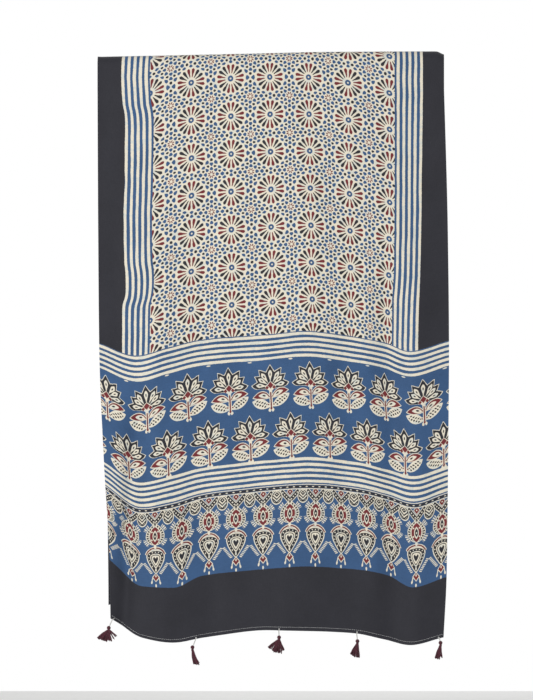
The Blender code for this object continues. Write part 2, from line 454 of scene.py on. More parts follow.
class Sketch:
    """Adds nodes to one tree, in the order in which they are worked out."""

    def __init__(self, tree, soft=0.45):
        self.tree = tree
        self.soft = soft

    def node(self, kind, values=(), **settings):
        made = self.tree.nodes.new(kind)
        for name, value in settings.items():
            setattr(made, name, value)
        return self.fill(made, values)

    def fill(self, node, values):
        """Sets or links a node's inputs, given by name or in their order."""
        named = values.items() if isinstance(values, dict) else enumerate(values)
        for socket, value in named:
            self.feed(node.inputs[socket], value)
        return node

    def feed(self, socket, value):
        if isinstance(value, Term):
            self.tree.links.new(value.socket, socket)
        elif value is not None:
            socket.default_value = value

    def out(self, node, name=0):
        return Term(self, node.outputs[name])

    def math(self, operation, *values, clamp=False):
        return self.out(self.node("ShaderNodeMath", values, operation=operation, use_clamp=clamp))

    def vector(self, operation, *values):
        made = self.node("ShaderNodeVectorMath", values, operation=operation)
        return self.out(made, "Value" if operation in ("LENGTH", "DISTANCE") else "Vector")

    def point(self, x, y, z=0.0):
        return self.out(self.node("ShaderNodeCombineXYZ", (x, y, z)))

    def split(self, vector):
        made = self.node("ShaderNodeSeparateXYZ", (vector,))
        return self.out(made, "X"), self.out(made, "Y")

    def wrap(self, value, pitch):
        """Distance to the nearest of a row of lines, one every pitch, with one at 0."""
        return self.math("WRAP", value, pitch / 2, -pitch / 2)

    def both(self, *insides):
        """Where all of these shapes overlap."""
        return functools.reduce(lambda a, b: self.math("MINIMUM", a, b), insides)

    def either(self, *insides):
        """These shapes together."""
        return functools.reduce(lambda a, b: self.math("MAXIMUM", a, b), insides)

    def within(self, value, low, high):
        """How far a value is inside a range."""
        return (high - low) / 2 - abs(value - (high + low) / 2)

    def placed(self, point, at, turn=0.0, size=(1.0, 1.0)):
        """The point as seen from a place that is turned by some degrees and scaled."""
        values = (point, (*at, 0.0), (0.0, 0.0, math.radians(turn)), (*size, 1.0))
        return self.out(self.node("ShaderNodeMapping", values, vector_type="TEXTURE"))

    def disc(self, point, at, radius):
        return radius - self.vector("DISTANCE", point, (*at, 0.0))

    def oval(self, point, at, half, turn=0.0):
        reach = self.vector("LENGTH", self.placed(point, at, turn, half))
        return self.math("MULTIPLY_ADD", reach, -min(half), min(half))

    def diamond(self, point, at, half):
        x, y = self.split(self.vector("ABSOLUTE", self.placed(point, at, 0.0, half)))
        return (1.0 - (x + y)) * (0.75 * min(half))

    def leaf(self, point, at, half_length, half_width, turn=0.0):
        """Pointed at both ends: where two round arcs cross."""
        radius = (half_length ** 2 + half_width ** 2) / (2 * half_width)
        folded = self.vector("ABSOLUTE", self.placed(point, at, turn))
        return self.disc(folded, (0.0, half_width - radius), radius)

    def profile(self, along, rows, straight=False):
        """A value that follows a table of (along, value)."""
        low, high = rows[0][0], rows[-1][0]
        values = [value for _, value in rows]
        least, most = min(values), max(values)
        share = self.math("MULTIPLY_ADD", along, 1 / (high - low), -low / (high - low), clamp=True)
        made = self.node("ShaderNodeFloatCurve", (1.0, share))
        curve = made.mapping.curves[0]
        spots = [((at - low) / (high - low), (value - least) / (most - least)) for at, value in rows]
        curve.points[0].location = spots[0]
        curve.points[1].location = spots[-1]
        for spot in spots[1:-1]:
            curve.points.new(*spot)
        for knot in curve.points:
            knot.handle_type = "VECTOR" if straight else "AUTO_CLAMPED"
        made.mapping.update()
        return self.math("MULTIPLY_ADD", self.out(made), most - least, least)

    def mask(self, inside, soft=None):
        """1 inside and 0 outside, with a soft edge."""
        return self.math("MULTIPLY_ADD", inside, 1 / (soft or self.soft), 0.5, clamp=True)

    def blend(self, share, a, b):
        return self.out(self.node("ShaderNodeMix", mix_inputs(share, a, b), data_type="RGBA"), 2)

    def paint(self, colour, inside, ink, soft=None):
        return self.blend(self.mask(inside, soft), colour, ink)

    def noise(self, point, scale, detail=2.0, roughness=0.5):
        return self.node("ShaderNodeTexNoise", (point, None, scale, detail, roughness))


# ---------------------------------------------------------------- the blocks of the print


PETAL_EDGE = (
    # degrees from the middle petal, reach of the flower's edge
    (0, 32.5), (5, 28.5), (10, 25.0), (16.5, 22.3), (23, 25.0), (29, 28.8), (33, 31.2),
    (37, 27.6), (44, 22.4), (50, 25.2), (55, 28.8), (60, 25.4), (69, 21.2), (76, 24.0),
    (84, 28.6), (92, 25.4), (98, 21.0), (103, 13.5), (111, 8.6), (128, 5.6), (180, 4.5),
)
PETAL_STEPS = (
    # degrees where the next petal begins, degrees to its middle line
    (16.5, 33.0), (44.0, 22.0), (69.0, 28.0),
)
PETAL_EYE = ((4, -2.0), (7, 0.1), (11, 1.0), (16, 2.5), (19.5, 3.1), (22.5, 2.2), (25.3, 0.1), (30, -3.0))


def draw_flower(s, place, ground, ink):
    """A booti: seven pointed petals over two leaves and two sprays on a stem. Its foot is at 0."""
    x, y = s.split(place)
    side = abs(x)
    leaning = s.point(side, y - x * 0.125)

    # Stem and forked foot
    stem = s.both(2.3 - side, s.within(y, 1.5, 36.0))
    upright = s.point(side, y)
    colour = s.paint(ground, s.either(stem, s.oval(upright, (1.7, 2.2), (2.6, 2.9), 25)), ink["Cream"])
    colour = s.paint(colour, s.disc(upright, (0.0, 0.3), 1.1), ground)

    # Sprays: cream blades with rows of black blots
    blade = s.leaf(leaning, (15.4, 14.2), 14.2, 6.3, 26)
    colour = s.paint(colour, blade + 0.9, ink["Cream"])
    along, over = s.split(s.placed(leaning, (15.4, 14.2), 26))
    cell = s.point(s.wrap(along + over * 0.35, 4.3), abs(over) - 2.3)
    blot = s.oval(cell, (0.0, 0.0), (1.25, 1.75), 20)
    colour = s.paint(colour, s.both(blot, blade - 0.9), ink["Black"])

    # Leaves: red edge, cream heart and black eye
    along, over = s.split(s.placed(leaning, (14.2, 25.2), 9))
    bent = s.point(along, over + along * along * 0.017 - 2.4)
    edge = s.leaf(bent, (0.0, 0.0), 13.0, 5.3)
    colour = s.paint(colour, edge + 1.15, ink["Cream"])
    colour = s.paint(colour, edge, ink["Red"])
    colour = s.paint(colour, s.leaf(bent, (-3.0, -0.5), 8.4, 3.5, 4), ink["Cream"])
    colour = s.paint(colour, s.leaf(bent, (-3.6, -0.3), 3.0, 1.3, 6), ink["Black"])

    # Red thread of the stem and its two small knots
    colour = s.paint(colour, s.disc(upright, (3.6, 10.8), 2.3), ink["Cream"])
    red = s.either(s.both(1.05 - side, s.within(y, 3.5, 34.0)), s.disc(upright, (3.9, 10.8), 1.25))
    colour = s.paint(colour, s.either(red, s.leaf(upright, (0.0, 4.6), 2.6, 1.6, 90)), ink["Red"])

    # Petals
    rise = y - 39.0
    degrees = s.math("ARCTAN2", side, rise) * (180 / math.pi)
    reach = s.vector("LENGTH", s.point(side, rise))
    petals = s.profile(degrees, PETAL_EDGE, straight=True) - reach
    colour = s.paint(colour, petals + 1.45, ink["Cream"])
    colour = s.paint(colour, petals, ink["Black"])
    off_line = degrees
    for begins, turn in PETAL_STEPS:
        off_line = s.math("MULTIPLY_ADD", s.math("GREATER_THAN", degrees, begins), -turn, off_line)
    shorter = s.math("MULTIPLY_ADD", s.math("GREATER_THAN", degrees, PETAL_STEPS[1][0]), 0.11, 1.0)
    radians = off_line * (math.pi / 180)
    along = reach * s.math("COSINE", radians) * shorter
    over = abs(reach * s.math("SINE", radians))
    drop = s.profile(along, PETAL_EYE) - over
    colour = s.paint(colour, s.both(drop, 100.0 - degrees), ink["Cream"])
    pupil = s.oval(s.point(along, over), (18.2, 0.0), (2.5, 0.95))
    colour = s.paint(colour, s.both(pupil, 92.0 - degrees), ink["Black"])

    # Heart of the flower
    collar = s.both(2.2 - side, s.within(y, 30.0, 36.0))
    colour = s.paint(colour, s.either(s.diamond(upright, (0.0, 38.6), (9.2, 8.4)), collar), ink["Cream"])
    red = s.either(s.diamond(upright, (0.0, 40.6), (5.0, 5.4)), s.diamond(upright, (5.6, 37.2), (2.9, 3.2)))
    return s.paint(colour, red, ink["Red"])


PEAR_EDGE = (
    # degrees from the top, reach of the pear from its middle
    (0, 13.4), (17, 13.6), (36, 14.6), (54, 15.2), (71, 14.4), (99, 12.6), (120, 12.3),
    (139, 13.3), (156, 15.6), (166, 18.0), (174, 20.6), (180, 22.4),
)
ONION_EDGE = (
    (0, 22.6), (8, 19.6), (16, 17.6), (32, 16.3), (60, 15.4), (90, 15.3), (120, 15.0), (150, 14.3),
    (180, 13.6),
)
BRANCH = (
    # height up the cloth, distance from the pendant's middle
    (108.0, 6.7), (111.0, 6.4), (115.0, 5.6), (119.0, 3.8), (122.0, 1.6), (123.4, -0.5), (125.0, -3.0),
)
RING_SPAN = 13.0
PEAR_RINGS = ((0.67, "Cream"), (0.56, "Black"), (0.47, "Cream"), (0.31, "Black"))


def draw_drops(s, point, side, up, colour, ink):
    """The red bud and three hanging drops at a pendant's foot."""
    drops = s.either(s.oval(point, (0.0, 103.6), (1.35, 2.7)), s.oval(point, (6.9, 108.6), (1.35, 2.7), 12))
    branch = s.both(0.75 - abs(s.profile(up, BRANCH) - side), up - 108.5)
    bud = s.diamond(point, (0.0, 117.2), (4.9, 6.0))
    colour = s.paint(colour, s.either(drops, branch, bud + 1.1), ink["Cream"])
    colour = s.paint(colour, bud, ink["Red"])
    return s.paint(colour, s.oval(point, (0.0, 119.2), (1.0, 1.9)), ink["Cream"])


def draw_pear(s, point, side, up, colour, ink):
    """The pear with its rings, its red cap and the ticks down its sides."""
    rise = up - 147.0
    degrees = s.math("ARCTAN2", side, rise) * (180 / math.pi)
    reach = s.vector("LENGTH", s.point(side, rise))
    edge = s.profile(degrees, PEAR_EDGE)
    ratio = s.math("DIVIDE", reach, edge)
    outline = edge + 1.7 - reach
    cap = abs(s.vector("LENGTH", s.point(side, up - 148.4)) - 16.4)
    cap_end = 66.0 - degrees
    along, over = s.split(s.placed(point, (4.6, 125.2), 53.5))
    tick = 0.78 - abs(s.wrap(along + over * 0.3, 2.75))
    ticks = s.both(tick, s.within(over, -5.2, -0.9), s.within(along, 0.0, 21.5))
    colour = s.paint(colour, s.either(outline, s.both(2.2 - cap, cap_end * 0.3), ticks), ink["Cream"])
    colour = s.paint(colour, s.both(1.05 - cap, cap_end * 0.3 - 0.8), ink["Red"])
    colour = s.paint(colour, (1.0 - ratio) * RING_SPAN, ink["Black"])
    beads = s.point(s.wrap(degrees, 25.7) * 0.23, (ratio - 0.84) * RING_SPAN)
    colour = s.paint(colour, s.disc(beads, (0.0, 0.0), 0.95), ink["Cream"])
    for share, dye in PEAR_RINGS:
        colour = s.paint(colour, (share - ratio) * RING_SPAN, ink[dye])
    eyes = s.either(s.oval(point, (0.0, 150.6), (1.5, 1.9)), s.oval(point, (0.0, 130.2), (1.1, 2.2)))
    return s.paint(colour, eyes, ink["Cream"])


def draw_onion(s, point, side, up, colour, ink):
    """The pointed oval above the pear, ringed with black beads and red, with ticks at its shoulders."""
    rise = up - 183.0
    degrees = s.math("ARCTAN2", side, rise) * (180 / math.pi)
    reach = s.vector("LENGTH", s.point(side, rise))
    inside = s.profile(degrees, ONION_EDGE) - reach
    windows = s.either(s.within(degrees, 34.0, 64.0), s.within(degrees, 106.0, 143.0))
    tick = 0.85 - abs(s.wrap(degrees - 5.0, 10.0) * 0.3)
    ticks = s.both(tick, s.within(inside, -5.6, -0.8), windows * 0.3)
    knot = s.oval(point, (0.0, 166.8), (2.2, 3.0))
    colour = s.paint(colour, s.either(inside, knot, ticks), ink["Cream"])
    beads = s.both(1.25 - abs(s.wrap(degrees, 17.0) * 0.235), s.within(inside, 1.1, 4.3))
    shadow = s.both(inside - 5.0, s.leaf(point, (0.0, 184.0), 19.0, 11.4, 90))
    colour = s.paint(colour, s.either(beads, shadow), ink["Black"])
    lens = s.leaf(point, (0.0, 183.6), 15.6, 9.6, 90)
    colour = s.paint(colour, lens, ink["Cream"])
    colour = s.paint(colour, lens - 1.2, ink["Red"])
    dots = s.either(s.disc(point, (5.0, 190.0), 1.25), s.disc(point, (5.2, 177.6), 1.25))
    colour = s.paint(colour, s.either(dots, s.leaf(point, (0.0, 183.4), 9.0, 4.0, 90)), ink["Cream"])
    colour = s.paint(colour, s.leaf(point, (0.0, 183.4), 6.4, 2.6, 90), ink["Black"])
    return s.paint(colour, s.oval(point, (0.0, 183.0), (0.9, 1.5)), ink["Cream"])


def draw_garland(s, point, side, up, colour, ink):
    """Beaded bands that meet above each pendant, and the oval buds that hang between them."""
    along, over = s.split(s.placed(point, (0.0, 203.0), 47.0))
    band = s.both(3.0 - abs(over), along, 220.5 - up)
    colour = s.paint(colour, band + 1.0, ink["Cream"])
    colour = s.paint(colour, band, ink["Black"])
    bead = s.point(s.wrap(along + 1.0, 4.6), over)
    colour = s.paint(colour, s.both(s.disc(bead, (0.0, 0.0), 1.1), band), ink["Cream"])
    bud = s.diamond(point, (0.0, 216.6), (4.6, 5.6))
    colour = s.paint(colour, bud + 0.8, ink["Cream"])
    colour = s.paint(colour, bud, ink["Red"])
    colour = s.paint(colour, s.disc(point, (0.0, 216.6), 1.1), ink["Cream"])
    half = PENDANT_PITCH / 2
    pod = s.oval(point, (half, 209.6), (8.6, 10.6))
    colour = s.paint(colour, pod + 0.4, ink["Cream"])
    colour = s.paint(colour, s.both(pod - 0.9, pod * -1.0 + 2.2), ink["Black"])
    chevron = up - (half - side) * 0.95
    bars = s.both(1.25 - abs(s.wrap(chevron - 201.6, 4.9)), pod - 1.5, 211.0 - chevron)
    eye = s.diamond(point, (half, 214.2), (3.4, 3.8))
    colour = s.paint(colour, eye + 1.1, ink["Cream"])
    colour = s.paint(colour, s.either(bars, eye), ink["Black"])
    return s.paint(colour, s.disc(point, (half, 214.2), 0.9), ink["Cream"])


def draw_pendants(s, place, ground, ink):
    """One pendant of the border with its share of the garland, folded on its middle line."""
    x, up = s.split(place)
    side = abs(x)
    point = s.point(side, up)
    colour = draw_drops(s, point, side, up, ground, ink)
    colour = draw_pear(s, point, side, up, colour, ink)
    colour = draw_garland(s, point, side, up, colour, ink)
    return draw_onion(s, point, side, up, colour, ink)


BLUE_CELLS = (
    (26.9, 0.0), (24.6, 10.4), (18.5, 18.2), (10.4, 22.6), (0.0, 24.6), (22.4, 28.75), (31.93, 19.8),
    (24.9, 21.9), (31.93, 12.9), (14.5, 28.75),
)
BLACK_CELLS = ((26.5, 16.4), (18.9, 23.6), (6.4, 28.75), (31.93, 6.1))
ROSETTE_RADIUS = 20.6
SMALL_FLOWER_RADIUS = 2.7
BLUE_REACH = 3.7
BLACK_REACH = 2.35
ROSETTE_PETAL = (
    # distance from the rosette's middle, half the petal's width
    (7.2, -1.0), (8.6, 0.55), (13.0, 1.15), (17.5, 2.15), (19.8, 2.35), (21.3, 1.5), (22.2, 0.1),
    (23.4, -2.0),
)


def draw_rosettes(s, place, ground, ink):
    """A quarter of the field's repeat: a sixteen-petalled rosette, a small flower, and cells between them.

    It covers the cloth, so no ground shows through.
    """
    x, y = s.split(place)
    reach = s.vector("LENGTH", place)
    corner = (ROSETTE_PITCH[0] / 2, ROSETTE_PITCH[1] / 2, 0.0)
    small = s.vector("DISTANCE", place, corner)
    flowers = (reach - ROSETTE_RADIUS, small - SMALL_FLOWER_RADIUS)
    first = s.both(*flowers)
    second = s.either(*flowers)
    nearest = {}
    for dye, cells in (("Blue", BLUE_CELLS), ("Black", BLACK_CELLS)):
        aways = [s.vector("DISTANCE", place, (*cell, 0.0)) for cell in cells]
        for away in aways:
            second = s.both(second, s.either(first, away))
            first = s.both(first, away)
        nearest[dye] = s.both(*aways)
    inside = (second - first) * 0.5
    own = {dye: (first - away + 0.01) * 50.0 for dye, away in nearest.items()}
    blue = s.both(inside - 0.82, own["Blue"], BLUE_REACH - nearest["Blue"])
    black = s.both(inside - 1.25, own["Black"], BLACK_REACH - nearest["Black"])
    colour = s.paint(ink["Cream"], blue, ink["Blue"])
    colour = s.paint(colour, black, ink["Black"])

    degrees = s.math("ARCTAN2", y, x) * (180 / math.pi)
    off_line = s.wrap(degrees - 11.25, 22.5) * (math.pi / 180)
    petal = s.profile(reach, ROSETTE_PETAL) - abs(off_line * reach)
    is_red = s.math("GREATER_THAN", abs(degrees - 45.0), 22.5)
    colour = s.paint(colour, petal, s.blend(is_red, ink["Black"], ink["Red"]))
    colour = s.paint(colour, s.both(4.5 - reach, reach - 1.4), ink["Blue"])

    from_corner = s.vector("SUBTRACT", place, corner)
    sx, sy = s.split(from_corner)
    off_line = s.wrap(s.math("ARCTAN2", sy, sx) - math.pi / 8, math.pi / 4) * small
    spokes = s.both(0.85 - abs(off_line), s.within(small, 2.3, 5.5))
    return s.paint(colour, spokes, ink["Red"])


def block(s, name, draw, place, ground, inks):
    """One printing block: its drawing is a group of its own, set into the cloth's tree."""
    tree = bpy.data.node_groups.new(name, "ShaderNodeTree")
    tree.interface.new_socket("Place", in_out="INPUT", socket_type="NodeSocketVector")
    for dye in ("Ground", *inks):
        tree.interface.new_socket(dye, in_out="INPUT", socket_type="NodeSocketColor")
    tree.interface.new_socket("Colour", in_out="OUTPUT", socket_type="NodeSocketColor")
    start = tree.nodes.new("NodeGroupInput")
    sketch = Sketch(tree, s.soft)
    given = {dye: sketch.out(start, dye) for dye in inks}
    colour = draw(sketch, sketch.out(start, "Place"), sketch.out(start, "Ground"), given)
    end = tree.nodes.new("NodeGroupOutput")
    tree.links.new(colour.socket, end.inputs["Colour"])
    used = s.tree.nodes.new("ShaderNodeGroup")
    used.node_tree = tree
    s.fill(used, {"Place": place, "Ground": ground, **inks})
    return s.out(used, "Colour")


BLUE_STAIN = (0.40, 0.53, 0.58, 1.0)


def times(colour, share):
    """A colour made darker or lighter, with its alpha."""
    return (*(part * share for part in colour), 1.0)


def dyed(s, place, ink):
    """The four dyes, each as uneven as hand printing leaves it."""
    broad = s.noise(place, 0.016, 3.0, 0.55)
    fine = s.noise(s.vector("MULTIPLY", place, (0.22, 0.9, 1.0)), 0.5, 2.0, 0.6)
    broad_fac = s.out(broad, "Fac")
    fine_fac = s.out(fine, "Fac")
    cloudy = s.math("MULTIPLY_ADD", broad_fac, 1.0, -0.5)
    mottle = s.math("MULTIPLY_ADD", fine_fac, 0.55, cloudy)
    share = s.math("ADD", mottle, 0.225, clamp=True)
    pale = s.mask(s.out(s.noise(place, 0.11, 2.0, 0.6), "Fac") - 0.56, 0.14) * 0.34
    dyes = {"Cream": s.blend(pale, (*ink.cream, 1.0), BLUE_STAIN)}
    for name, colour, thin, thick in (
        ("Black", ink.iron, 0.82, 1.35),
        ("Red", ink.madder, 0.75, 1.35),
        ("Blue", ink.indigo, 0.74, 1.22),
    ):
        dyes[name] = s.blend(share, times(colour, thin), times(colour, thick))
    return dyes


def draw_bands(s, across, up, colour, ink, ragged):
    """Cross bands of five cream lines, the chain under the lower one, and specks under the upper one."""
    upper = s.math("GREATER_THAN", up, FLOWER_SPLIT)
    middle = s.math("MULTIPLY_ADD", upper, UPPER_BAND - LOWER_BAND, LOWER_BAND)
    off = up - middle
    lines = STRIPE_HALF + ragged - abs(s.wrap(off, STRIPE_GAP))
    lines = s.both(lines, 2.5 * STRIPE_GAP - abs(off))
    chain = s.either(0.7 - abs(up - 220.6), 0.6 - abs(up - 227.3))
    speck_place = s.point(s.wrap(across - FLOWER_ROWS["lower"][0], FLOWER_PITCH), up)
    speck = s.oval(speck_place, (0.0, 421.4), (3.2, 1.0))
    colour = s.paint(colour, s.either(lines, chain, speck), ink["Cream"])
    colour = s.paint(colour, 2.0 - abs(up - CHAIN_LINE), ink["Black"])
    link = s.oval(s.point(s.wrap(across, 10.6), up), (0.0, CHAIN_LINE), (1.7, 0.8))
    return s.paint(colour, link, ink["Cream"])


def draw_sides(s, across, up, colour, ink, ragged):
    """Upright stripes at both sides of the field, the black borders outside them, and the end band."""
    above = up - FIELD_FLOOR
    wander = s.profile(up, LEFT_WANDER)
    for start, reach in ((LEFT_STRIPES + wander, -1.0), (RIGHT_STRIPES, 1.0)):
        off = (across - start) * reach
        panel = s.both(off + 2.5 * SIDE_GAP + 1.0, above)
        colour = s.paint(colour, panel, ink["Blue"])
        lines = STRIPE_HALF + ragged - abs(s.wrap(off, SIDE_GAP))
        colour = s.paint(colour, s.both(lines, above, 2.5 * SIDE_GAP - abs(off)), ink["Cream"])
        colour = s.paint(colour, s.both(off - 2.25 * SIDE_GAP, above), ink["Black"])
    return s.paint(colour, END_BAND - up, ink["Black"])


def print_colour(s, inks):
    """The whole print, from the sheet's cut coordinates."""
    cut = s.vector("SCALE", s.out(s.node("ShaderNodeUVMap", uv_map="cut"), "UV"))
    s.feed(cut.socket.node.inputs["Scale"], 1 / MM)
    across, up = s.split(cut)
    up = MIDDLE_LINE - abs(up - MIDDLE_LINE)
    place = s.point(across, up)
    stray = s.vector("SUBTRACT", s.out(s.noise(place, 0.02, 1.0), "Color"), (0.5, 0.5, 0.5))
    ragged = s.vector("SUBTRACT", s.out(s.noise(place, 0.42, 2.0, 0.65), "Color"), (0.5, 0.5, 0.5))
    moved = s.vector("MULTIPLY_ADD", stray, (2e3 * inks.wander,) * 3, place)
    moved = s.vector("MULTIPLY_ADD", ragged, (1.1,) * 3, moved)
    x, y = s.split(moved)
    unevenness = s.split(stray)[0] * 1.6
    dyes = dyed(s, place, inks)
    ground = dyes["Blue"]

    pendant = s.point(s.wrap(x - PENDANT_START, PENDANT_PITCH), y)
    printed = block(s, "Pendant block", draw_pendants, pendant, ground, dyes)
    colour = s.paint(ground, 221.0 - y, printed)

    upper, lower = FLOWER_ROWS["upper"], FLOWER_ROWS["lower"]
    in_upper = s.math("GREATER_THAN", y, FLOWER_SPLIT)
    stem = s.wrap(x - s.math("MULTIPLY_ADD", in_upper, upper[0] - lower[0], lower[0]), FLOWER_PITCH)
    foot = y - s.math("MULTIPLY_ADD", in_upper, upper[1] - lower[1], lower[1])
    flower = s.placed(s.point(stem, foot), (0.0, 0.0), 1.5)
    printed = block(s, "Flower block", draw_flower, flower, colour, dyes)
    colour = s.paint(colour, s.within(y, 262.0, 424.0), printed)
    colour = draw_bands(s, x, y, colour, dyes, unevenness)

    quarter = s.vector("ABSOLUTE", s.point(s.wrap(x - ROSETTE_START[0], ROSETTE_PITCH[0]),
                                           s.wrap(y - ROSETTE_START[1], ROSETTE_PITCH[1])))
    printed = block(s, "Rosette block", draw_rosettes, quarter, colour, dyes)
    colour = s.paint(colour, y - FIELD_FLOOR, printed)
    return draw_sides(s, x, y, colour, dyes, unevenness), place


def cloth_material(inks, cloth):
    """Soft cotton printed on both faces: the print, a fine weave and a faint sheen."""
    made, s, surface = new_material("printed cotton", soft=inks.bleed / MM)
    colour, place = print_colour(s, inks)
    thread = cloth.thread / MM
    across, up = s.split(place)
    warp = s.math("SINE", across * (2 * math.pi / thread))
    weft = s.math("SINE", up * (2 * math.pi / thread))
    slub = s.out(s.noise(s.vector("MULTIPLY", place, (1.0, 0.16, 1.0)), 0.55, 2.0), "Fac")
    cockle = s.out(s.noise(place, 0.06, 3.0, 0.55), "Fac")
    height = warp * weft * 0.05 + slub * 0.22 + cockle * 1.1
    bump = s.node("ShaderNodeBump", {"Strength": 0.42, "Distance": 0.0011, "Height": height})
    s.fill(surface, {
        "Base Color": colour,
        "Normal": s.out(bump, "Normal"),
        "Roughness": s.math("MULTIPLY_ADD", slub, 0.16, 0.62),
        "Specular IOR Level": 0.28,
        "Sheen Weight": 0.16,
        "Sheen Roughness": 0.45,
    })
    return made


def new_material(name, soft=0.45):
    """A material with only its shader and its output, and a sketch to draw in its tree."""
    made = bpy.data.materials.new(name)
    made.use_nodes = True
    return made, Sketch(made.node_tree, soft), made.node_tree.nodes["Principled BSDF"]


def yarn_material(name, colour, shade, roughness, twist):
    """Spun yarn: lighter and darker fibres, with the twist as a fine bump."""
    made, s, surface = new_material(name)
    place = s.out(s.node("ShaderNodeTexCoord"), "Object")
    fibres = s.out(s.noise(s.vector("MULTIPLY", place, (1.0, 1.0, 0.35)), 900.0, 2.0, 0.6), "Fac")
    patches = s.out(s.noise(place, 160.0, 1.0), "Fac")
    share = s.math("MULTIPLY_ADD", fibres, 0.8, patches * 0.7 - 0.3)
    share = s.math("ADD", share, 0.0, clamp=True)
    dyed_yarn = s.blend(share, times(colour, shade), times(colour, 1.0))
    x, y = s.split(place)
    z = s.out(s.node("ShaderNodeSeparateXYZ", (place,)), "Z")
    ply = s.math("SINE", (z + x * 0.8 + y * 0.5) * (2 * math.pi / twist))
    bump = s.node("ShaderNodeBump", {"Strength": 0.55, "Distance": 0.00025, "Height": ply + fibres})
    s.fill(surface, {
        "Base Color": dyed_yarn,
        "Normal": s.out(bump, "Normal"),
        "Roughness": s.math("MULTIPLY_ADD", fibres, 0.2, roughness - 0.1),
        "Sheen Weight": 0.3,
        "Sheen Roughness": 0.4,
    })
    return made


# ---------------------------------------------------------------- trees that repeat small pieces


class Growth:
    """A geometry tree with named inputs that ends in real geometry with one material."""

    def __init__(self, name, inputs):
        self.tree = bpy.data.node_groups.new(name, "GeometryNodeTree")
        self.tree.interface.new_socket("Geometry", in_out="INPUT", socket_type="NodeSocketGeometry")
        for label, kind in inputs:
            self.tree.interface.new_socket(label, in_out="INPUT", socket_type=kind)
        self.tree.interface.new_socket("Geometry", in_out="OUTPUT", socket_type="NodeSocketGeometry")
        self.sketch = Sketch(self.tree)
        self.start = self.tree.nodes.new("NodeGroupInput")

    def given(self, label):
        return self.sketch.out(self.start, label)

    def end(self, geometry):
        real = self.sketch.out(self.sketch.node("GeometryNodeRealizeInstances", (geometry,)))
        values = {"Geometry": real, "Material": self.given("Material")}
        coloured = self.sketch.node("GeometryNodeSetMaterial", values)
        output = self.tree.nodes.new("NodeGroupOutput")
        self.tree.links.new(coloured.outputs["Geometry"], output.inputs["Geometry"])
        return self.tree


LENGTH_INPUT = "NodeSocketFloat"
COMMON_INPUTS = (
    ("Count", "NodeSocketInt"),
    ("Yarn Radius", LENGTH_INPUT),
    ("Material", "NodeSocketMaterial"),
)


def tube(s, curve, radius, sides):
    """A closed tube along each spline of a curve."""
    size = {"Resolution": sides, "Radius": radius}
    profile = s.out(s.node("GeometryNodeCurvePrimitiveCircle", size, mode="RADIUS"))
    values = {"Curve": curve, "Profile Curve": profile, "Fill Caps": True}
    return s.out(s.node("GeometryNodeCurveToMesh", values))


def repeated_lines(s, count, knots):
    """Many straight lines on one spot, each a spline of its own."""
    spots = s.out(s.node("GeometryNodePoints", {"Count": count}))
    straight = {"Curve": s.out(s.node("GeometryNodeCurvePrimitiveLine")), "Count": knots}
    line = s.out(s.node("GeometryNodeResampleCurve", straight, mode="COUNT"))
    copies = s.out(s.node("GeometryNodeInstanceOnPoints", {"Points": spots, "Instance": line}))
    return s.out(s.node("GeometryNodeRealizeInstances", (copies,)))


def moved_to(s, geometry, position):
    return s.out(s.node("GeometryNodeSetPosition", {"Geometry": geometry, "Position": position}))


def strand_index(s):
    """The number of the strand that a point belongs to."""
    number = s.out(s.node("GeometryNodeInputIndex"))
    return s.out(s.node("GeometryNodeFieldOnDomain", (number,), domain="CURVE", data_type="INT"))


def lock_tree():
    """A lock of a tassel's skirt: strands that leave the neck together and part towards their ends."""
    vectors = [(label, "NodeSocketVector") for label in ("Bend", "End", "Spread", "Depth", "Fray")]
    inputs = (*COMMON_INPUTS, ("Seed", "NodeSocketInt"), ("Neck Radius", LENGTH_INPUT), *vectors)
    growth = Growth("Yarn lock", inputs)
    s = growth.sketch
    strands = repeated_lines(s, growth.given("Count"), 11)
    span = {0: (-1.0, -1.0, -1.0), 1: (1.0, 1.0, 1.0), "ID": strand_index(s), "Seed": growth.given("Seed")}
    chance = s.out(s.node("FunctionNodeRandomValue", span, data_type="FLOAT_VECTOR"))
    parts = s.node("ShaderNodeSeparateXYZ", (chance,))
    over, deep, long = (s.out(parts, axis) for axis in ("X", "Y", "Z"))
    t = s.out(s.node("GeometryNodeSplineParameter"), "Factor")

    def scaled(vector, share):
        made = s.node("ShaderNodeVectorMath", {0: vector, "Scale": share}, operation="SCALE")
        return s.out(made, "Vector")

    stray = scaled(growth.given("Spread"), over)
    stray = s.vector("ADD", stray, scaled(growth.given("Depth"), deep))
    stray = s.vector("ADD", stray, scaled(growth.given("Fray"), long))
    neck = scaled(s.point(over, deep), growth.given("Neck Radius"))
    bend = s.vector("ADD", growth.given("Bend"), scaled(stray, 0.62))
    end = s.vector("ADD", growth.given("End"), stray)
    back = 1.0 - t
    place = s.vector("ADD", scaled(neck, back * back), scaled(bend, back * t * 2.0))
    place = s.vector("ADD", place, scaled(end, t * t))
    wave = s.math("SINE", t * 9.0 + over * 7.0) * t
    place = s.vector("ADD", place, scaled(s.point(wave, s.math("SINE", t * 8.0 + deep * 9.0) * t), 0.00035))
    return growth.end(tube(s, moved_to(s, strands, place), growth.given("Yarn Radius"), 5))


